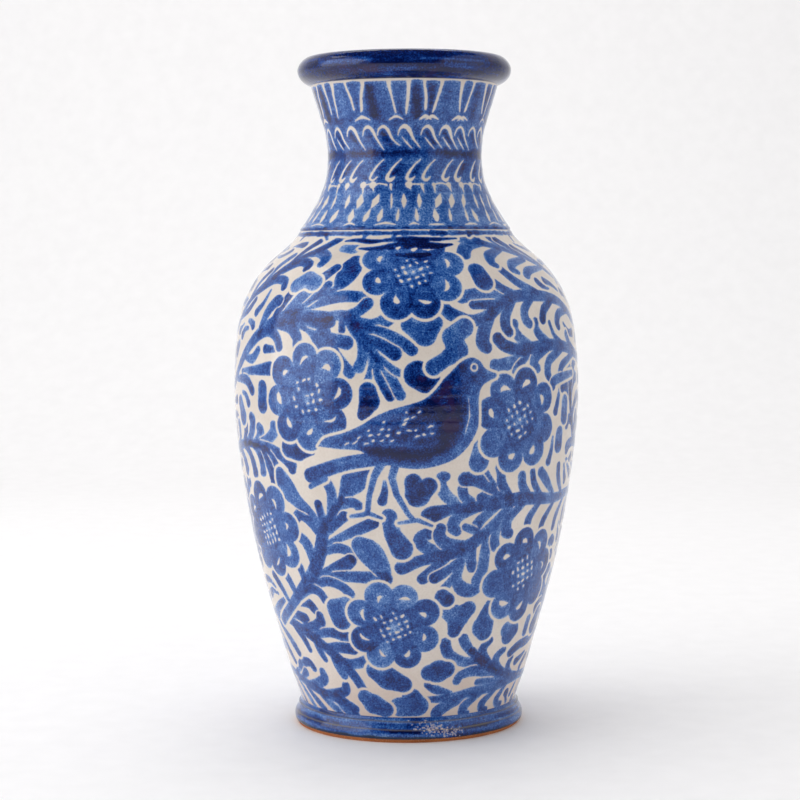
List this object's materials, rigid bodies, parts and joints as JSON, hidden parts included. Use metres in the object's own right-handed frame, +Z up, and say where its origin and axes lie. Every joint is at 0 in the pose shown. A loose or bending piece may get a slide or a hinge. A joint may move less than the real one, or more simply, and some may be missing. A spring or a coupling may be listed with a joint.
{
  "type": "talavera pottery vase",
  "caption": "Blue and white tin-glazed earthenware vase with a rolled lip, flared neck, round body and turned foot, for flowers or display.",
  "frame": {"origin": "centre of the foot, on the plane that the vase stands on", "axes": "+Z up along the vase's axis, -Y towards the front of the painted pattern, +X to the viewer's right"},
  "size_m": [0.1816, 0.1816, 0.3501],
  "materials": {
    "terracotta": "unglazed fired earthenware, matt",
    "slip": "fired clay slip, matt",
    "painted_glaze": "glossy tin glaze painted in cobalt",
    "cobalt_glaze": "glossy solid cobalt glaze",
    "plain_glaze": "glossy tin glaze",
    "cobalt_paint": "glossy cobalt brush line"
  },
  "bodies": {
    "root": {"foot_ring": "terracotta", "body_wall": "terracotta", "neck_wall": "terracotta", "lip_ring": "terracotta", "foot_slip_joint": "slip", "neck_slip_joint": "slip", "lip_slip_joint": "slip", "foot_glaze": "cobalt_glaze", "body_glaze": "painted_glaze", "neck_glaze": "painted_glaze", "lip_glaze": "cobalt_glaze", "inner_glaze": "plain_glaze", "shoulder_paint_line": "cobalt_paint", "neck_paint_line_low": "cobalt_paint", "neck_paint_line_mid": "cobalt_paint", "neck_paint_line_high": "cobalt_paint"}
  },
  "joints": []
}
